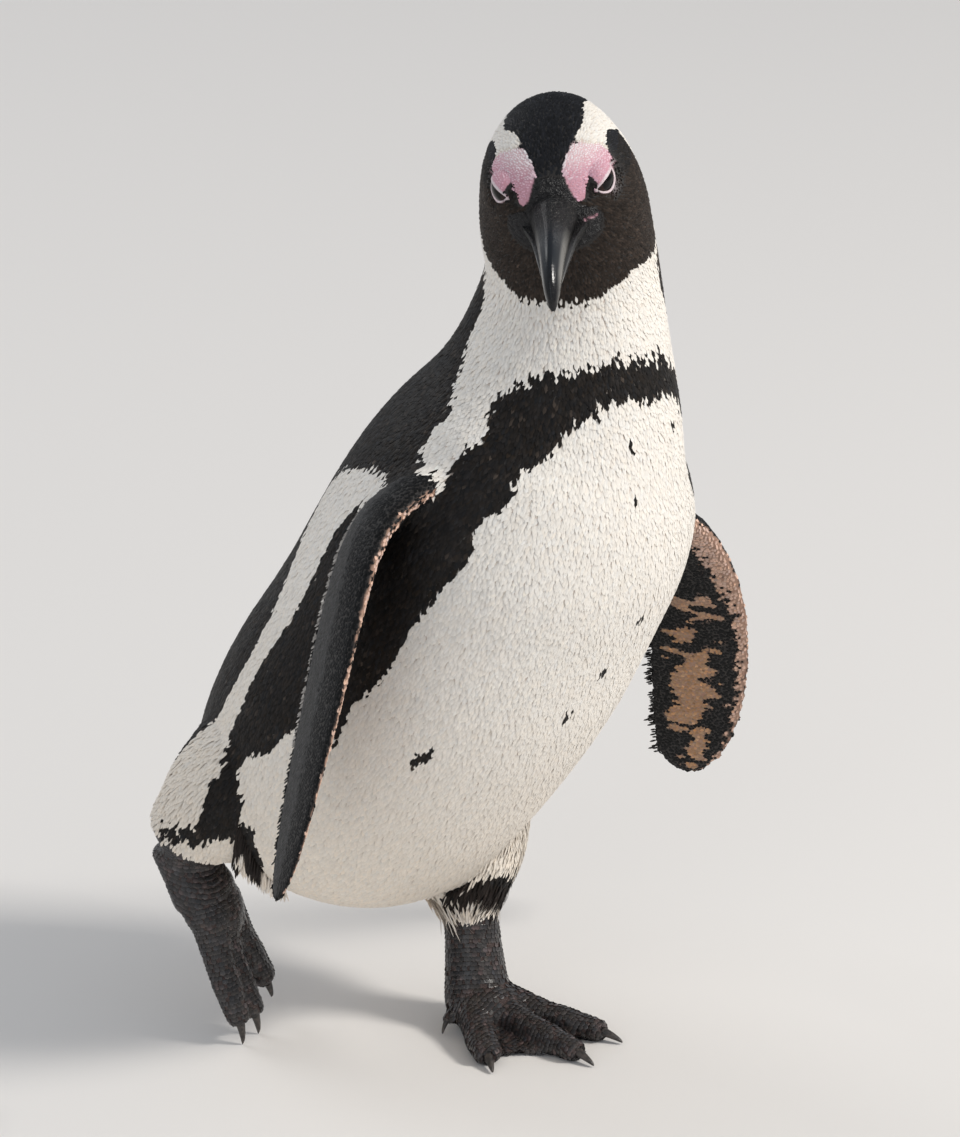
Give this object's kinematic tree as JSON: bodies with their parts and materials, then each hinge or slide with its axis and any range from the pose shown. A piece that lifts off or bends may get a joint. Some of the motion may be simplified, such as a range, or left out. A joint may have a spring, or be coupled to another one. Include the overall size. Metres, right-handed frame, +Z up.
{
  "type": "walking penguin model",
  "caption": "Life-size still model of a walking african penguin with plumage, bill, wings, tail and webbed feet.",
  "frame": {"origin": "centre of the model's box in plan, at the floor that both feet rest on", "axes": "+Z up, -Y the way the bird walks, +X its left side"},
  "size_m": [0.309, 0.2762, 0.4699],
  "materials": {
    "white_feather": "dense short feathers, matte",
    "black_feather": "dense short feathers, faint sheen",
    "bill_horn": "worn smooth horn, semi-gloss",
    "foot_skin": "scaly skin",
    "eye": "wet gloss",
    "claw_horn": "dull horn"
  },
  "bodies": {
    "root": {"trunk": "white_feather", "neck": "white_feather", "head": "black_feather", "eye_left": "eye", "eye_right": "eye", "bill_upper": "bill_horn", "bill_lower": "bill_horn", "wing_left": "black_feather", "wing_right": "black_feather", "tail": "black_feather", "shank_left": "white_feather", "shank_right": "white_feather", "tarsus_left": "foot_skin", "tarsus_right": "foot_skin", "foot_left": "foot_skin", "foot_right": "foot_skin", "claw_left_inner": "claw_horn", "claw_left_middle": "claw_horn", "claw_left_outer": "claw_horn", "claw_left_hind": "claw_horn", "claw_right_inner": "claw_horn", "claw_right_middle": "claw_horn", "claw_right_outer": "claw_horn", "claw_right_hind": "claw_horn"}
  },
  "joints": []
}
